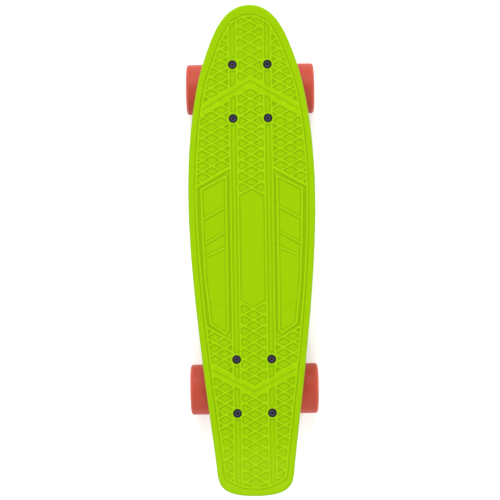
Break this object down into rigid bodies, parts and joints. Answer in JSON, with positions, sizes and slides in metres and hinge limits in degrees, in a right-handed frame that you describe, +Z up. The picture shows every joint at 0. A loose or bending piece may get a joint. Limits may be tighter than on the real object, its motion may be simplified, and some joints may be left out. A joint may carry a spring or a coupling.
{
  "type": "skateboard",
  "caption": "Small moulded plastic cruiser skateboard with a latticed deck, kicktail, leaning trucks and rolling urethane wheels.",
  "frame": {"origin": "on the floor under the middle of the deck's length, where the wheels stand", "axes": "+X to the nose, +Y to the rider's left, +Z up"},
  "size_m": [0.578, 0.1536, 0.1112],
  "materials": {
    "deck": "moulded polypropylene, satin",
    "wheel": "cast urethane, satin",
    "core": "moulded hub",
    "cast": "tumbled casting",
    "bolt": "dark zinc",
    "steel": "zinc plated",
    "bearing": "ground steel",
    "shield": "dark shield",
    "bushing": "translucent urethane",
    "pivot": "soft urethane"
  },
  "bodies": {
    "board": {"deck": "deck", "front_baseplate": "cast", "front_pivot_cup": "pivot", "front_kingpin": "steel", "front_kingpin_nut": "steel", "front_board_bushing": "bushing", "front_road_bushing": "bushing", "front_board_washer": "steel", "front_road_washer": "steel", "front_mounting_bolts": "bolt", "front_mounting_nuts": "steel", "rear_baseplate": "cast", "rear_pivot_cup": "pivot", "rear_kingpin": "steel", "rear_kingpin_nut": "steel", "rear_board_bushing": "bushing", "rear_road_bushing": "bushing", "rear_board_washer": "steel", "rear_road_washer": "steel", "rear_mounting_bolts": "bolt", "rear_mounting_nuts": "steel"},
    "front_truck": {"front_hanger": "cast", "front_axle": "steel", "front_axle_nuts": "steel", "front_axle_washers": "steel", "front_left_inner_races": "bearing", "front_left_spacer": "steel", "front_right_inner_races": "bearing", "front_right_spacer": "steel"},
    "front_left_wheel": {"front_left_tyre": "wheel", "front_left_core": "core", "front_left_outer_races": "bearing", "front_left_balls": "bearing", "front_left_shields": "shield"},
    "front_right_wheel": {"front_right_tyre": "wheel", "front_right_core": "core", "front_right_outer_races": "bearing", "front_right_balls": "bearing", "front_right_shields": "shield"},
    "rear_truck": {"rear_hanger": "cast", "rear_axle": "steel", "rear_axle_nuts": "steel", "rear_axle_washers": "steel", "rear_left_inner_races": "bearing", "rear_left_spacer": "steel", "rear_right_inner_races": "bearing", "rear_right_spacer": "steel"},
    "rear_left_wheel": {"rear_left_tyre": "wheel", "rear_left_core": "core", "rear_left_outer_races": "bearing", "rear_left_balls": "bearing", "rear_left_shields": "shield"},
    "rear_right_wheel": {"rear_right_tyre": "wheel", "rear_right_core": "core", "rear_right_outer_races": "bearing", "rear_right_balls": "bearing", "rear_right_shields": "shield"}
  },
  "joints": [
    {"name": "front_truck_lean", "type": "hinge", "parent": "board", "child": "front_truck", "pos_m": [0.17453, 0, 0.04616], "axis": [0.8561, 0, 0.5167], "range_deg": [-15, 15], "stiffness_Nm_per_rad": 60, "deforming": ["front_board_bushing", "front_road_bushing"]},
    {"name": "rear_truck_lean", "type": "hinge", "parent": "board", "child": "rear_truck", "pos_m": [-0.14813, 0, 0.04616], "axis": [-0.8561, 0, 0.5167], "range_deg": [-15, 15], "stiffness_Nm_per_rad": 60, "deforming": ["rear_board_bushing", "rear_road_bushing"]},
    {"name": "front_left_wheel_spin", "type": "hinge", "parent": "front_truck", "child": "front_left_wheel", "pos_m": [0.1932, 0.05425, 0.03], "axis": [0, 1, 0], "continuous": true},
    {"name": "front_right_wheel_spin", "type": "hinge", "parent": "front_truck", "child": "front_right_wheel", "pos_m": [0.1932, -0.05425, 0.03], "axis": [0, 1, 0], "continuous": true},
    {"name": "rear_left_wheel_spin", "type": "hinge", "parent": "rear_truck", "child": "rear_left_wheel", "pos_m": [-0.1668, 0.05425, 0.03], "axis": [0, 1, 0], "continuous": true},
    {"name": "rear_right_wheel_spin", "type": "hinge", "parent": "rear_truck", "child": "rear_right_wheel", "pos_m": [-0.1668, -0.05425, 0.03], "axis": [0, 1, 0], "continuous": true}
  ]
}
